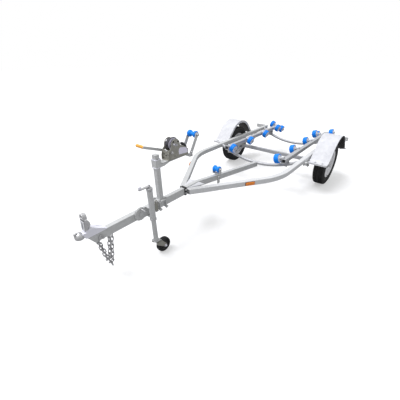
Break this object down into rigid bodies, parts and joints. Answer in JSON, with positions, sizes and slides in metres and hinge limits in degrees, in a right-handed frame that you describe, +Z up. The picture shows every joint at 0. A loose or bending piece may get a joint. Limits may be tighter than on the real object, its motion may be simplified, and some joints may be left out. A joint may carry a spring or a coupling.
{
  "type": "boat trailer",
  "caption": "Galvanised single-axle boat trailer with ball coupling, jockey wheel, winch post, keel and bow rollers, and side rows of blue hull rollers.",
  "frame": {"origin": "on the ground, at the middle of the overall length and of the track", "axes": "+X forward to the coupling, +Y to the trailer's left, +Z up"},
  "size_m": [3.996, 1.704, 0.981],
  "materials": {
    "galvanised_steel": "hot-dip galvanised, dull spangle",
    "zinc_plate": "zinc plated, satin",
    "painted_steel": "silver-white wheel enamel",
    "tyre": "black road tyre",
    "black_rubber": "matt black",
    "blue_rubber": "bright blue, satin",
    "webbing": "dark woven webbing",
    "orange_plastic": "moulded grip",
    "amber_plastic": "amber reflector"
  },
  "bodies": {
    "chassis": {"drawbar": "galvanised_steel", "keel_beam": "galvanised_steel", "rail_left": "galvanised_steel", "rail_right": "galvanised_steel", "apex_strap": "galvanised_steel", "front_cross_tube": "galvanised_steel", "rear_cross_tube": "galvanised_steel", "roller_beam_left": "galvanised_steel", "roller_beam_right": "galvanised_steel", "tail_roller_arms": "galvanised_steel", "axle": "galvanised_steel", "leaf_springs": "galvanised_steel", "guard_left": "galvanised_steel", "guard_right": "galvanised_steel", "guard_stays": "galvanised_steel", "coupling": "galvanised_steel", "coupling_handle": "galvanised_steel", "safety_chains": "galvanised_steel", "chain_lugs": "galvanised_steel", "jockey_bracket": "galvanised_steel", "post_base": "galvanised_steel", "winch_post": "galvanised_steel", "winch_bracket": "galvanised_steel", "winch_frame": "zinc_plate", "bow_roller_arms": "galvanised_steel", "keel_roller_mount": "galvanised_steel", "lamp_brackets": "galvanised_steel", "side_markers": "amber_plastic"},
    "wheel_left": {"rim_left": "painted_steel", "tyre_left": "tyre"},
    "wheel_right": {"rim_right": "painted_steel", "tyre_right": "tyre"},
    "jockey_swing": {"jockey_tube": "galvanised_steel", "jockey_crank": "galvanised_steel"},
    "jockey_leg": {"jockey_leg": "galvanised_steel"},
    "jockey_castor": {"jockey_fork": "galvanised_steel"},
    "jockey_wheel": {"jockey_wheel": "black_rubber"},
    "winch_drum": {"winch_drum": "zinc_plate", "winch_strap": "webbing"},
    "winch_crank": {"winch_handle": "zinc_plate", "winch_grip": "orange_plastic"},
    "bow_roller": {"bow_roller": "blue_rubber"},
    "keel_roller": {"keel_roller": "blue_rubber"},
    "rocker_left": {"rear_rocker_left": "galvanised_steel"},
    "rocker_right": {"rear_rocker_right": "galvanised_steel"},
    "roller_left_a": {"roller_left_a": "blue_rubber"},
    "roller_left_b": {"roller_left_b": "blue_rubber"},
    "roller_left_c": {"roller_left_c": "blue_rubber"},
    "roller_left_d": {"roller_left_d": "blue_rubber"},
    "roller_left_e": {"roller_left_e": "blue_rubber"},
    "roller_left_f": {"roller_left_f": "blue_rubber"},
    "roller_right_a": {"roller_right_a": "blue_rubber"},
    "roller_right_b": {"roller_right_b": "blue_rubber"},
    "roller_right_c": {"roller_right_c": "blue_rubber"},
    "roller_right_d": {"roller_right_d": "blue_rubber"},
    "roller_right_e": {"roller_right_e": "blue_rubber"},
    "roller_right_f": {"roller_right_f": "blue_rubber"}
  },
  "joints": [
    {"name": "wheel_left_spin", "type": "hinge", "parent": "chassis", "child": "wheel_left", "pos_m": [-1.042, 0.734, 0.281], "axis": [0, 1, 0], "continuous": true},
    {"name": "wheel_right_spin", "type": "hinge", "parent": "chassis", "child": "wheel_right", "pos_m": [-1.042, -0.734, 0.281], "axis": [0, 1, 0], "continuous": true},
    {"name": "jockey_swing_up", "type": "hinge", "parent": "chassis", "child": "jockey_swing", "pos_m": [1.479, 0.089, 0.445], "axis": [0, 1, 0], "range_deg": [0, 90]},
    {"name": "jockey_leg_slide", "type": "slide", "parent": "jockey_swing", "child": "jockey_leg", "axis": [0, 0, 1], "range_m": [0, 0.16]},
    {"name": "jockey_castor_turn", "type": "hinge", "parent": "jockey_leg", "child": "jockey_castor", "pos_m": [1.404, 0.089, 0], "axis": [0, 0, 1], "continuous": true},
    {"name": "jockey_wheel_spin", "type": "hinge", "parent": "jockey_castor", "child": "jockey_wheel", "pos_m": [1.331, 0.089, 0.07], "axis": [0, 1, 0], "continuous": true},
    {"name": "winch_drum_turn", "type": "hinge", "parent": "chassis", "child": "winch_drum", "pos_m": [1.053, 0, 0.921], "axis": [0, 1, 0], "continuous": true},
    {"name": "winch_crank_turn", "type": "hinge", "parent": "chassis", "child": "winch_crank", "pos_m": [1.1, 0, 0.866], "axis": [0, 1, 0], "continuous": true},
    {"name": "bow_roller_spin", "type": "hinge", "parent": "chassis", "child": "bow_roller", "pos_m": [0.792, 0, 0.95], "axis": [0, 1, 0], "continuous": true},
    {"name": "keel_roller_spin", "type": "hinge", "parent": "chassis", "child": "keel_roller", "pos_m": [0.42, 0, 0.486], "axis": [0, 1, 0], "continuous": true},
    {"name": "rocker_left_tilt", "type": "hinge", "parent": "chassis", "child": "rocker_left", "pos_m": [-1.822, 0.3945, 0.44], "axis": [0, 1, 0], "range_deg": [-15, 15]},
    {"name": "roller_left_a_spin", "type": "hinge", "parent": "chassis", "child": "roller_left_a", "pos_m": [-0.385, 0.33, 0.446], "axis": [0, 0.9511, 0.309], "continuous": true},
    {"name": "roller_left_b_spin", "type": "hinge", "parent": "chassis", "child": "roller_left_b", "pos_m": [-0.852, 0.33, 0.446], "axis": [0, 0.9511, 0.309], "continuous": true},
    {"name": "roller_left_c_spin", "type": "hinge", "parent": "chassis", "child": "roller_left_c", "pos_m": [-1.327, 0.33, 0.446], "axis": [0, 0.9511, 0.309], "continuous": true},
    {"name": "roller_left_d_spin", "type": "hinge", "parent": "rocker_left", "child": "roller_left_d", "pos_m": [-1.742, 0.318, 0.462], "axis": [0, 0.9511, 0.309], "continuous": true},
    {"name": "roller_left_e_spin", "type": "hinge", "parent": "rocker_left", "child": "roller_left_e", "pos_m": [-1.902, 0.318, 0.418], "axis": [0, 0.9511, 0.309], "continuous": true},
    {"name": "roller_left_f_spin", "type": "hinge", "parent": "chassis", "child": "roller_left_f", "pos_m": [-1.939, 0.51, 0.468], "axis": [0, 0.9511, 0.309], "continuous": true},
    {"name": "rocker_right_tilt", "type": "hinge", "parent": "chassis", "child": "rocker_right", "pos_m": [-1.822, -0.3945, 0.44], "axis": [0, 1, 0], "range_deg": [-15, 15]},
    {"name": "roller_right_a_spin", "type": "hinge", "parent": "chassis", "child": "roller_right_a", "pos_m": [-0.385, -0.33, 0.446], "axis": [0, -0.9511, 0.309], "continuous": true},
    {"name": "roller_right_b_spin", "type": "hinge", "parent": "chassis", "child": "roller_right_b", "pos_m": [-0.852, -0.33, 0.446], "axis": [0, -0.9511, 0.309], "continuous": true},
    {"name": "roller_right_c_spin", "type": "hinge", "parent": "chassis", "child": "roller_right_c", "pos_m": [-1.327, -0.33, 0.446], "axis": [0, -0.9511, 0.309], "continuous": true},
    {"name": "roller_right_d_spin", "type": "hinge", "parent": "rocker_right", "child": "roller_right_d", "pos_m": [-1.742, -0.318, 0.462], "axis": [0, -0.9511, 0.309], "continuous": true},
    {"name": "roller_right_e_spin", "type": "hinge", "parent": "rocker_right", "child": "roller_right_e", "pos_m": [-1.902, -0.318, 0.418], "axis": [0, -0.9511, 0.309], "continuous": true},
    {"name": "roller_right_f_spin", "type": "hinge", "parent": "chassis", "child": "roller_right_f", "pos_m": [-1.939, -0.51, 0.468], "axis": [0, -0.9511, 0.309], "continuous": true}
  ],
  "couplings": [
    {"joint": "winch_crank_turn", "follows": "winch_drum_turn", "ratio": -4}
  ]
}
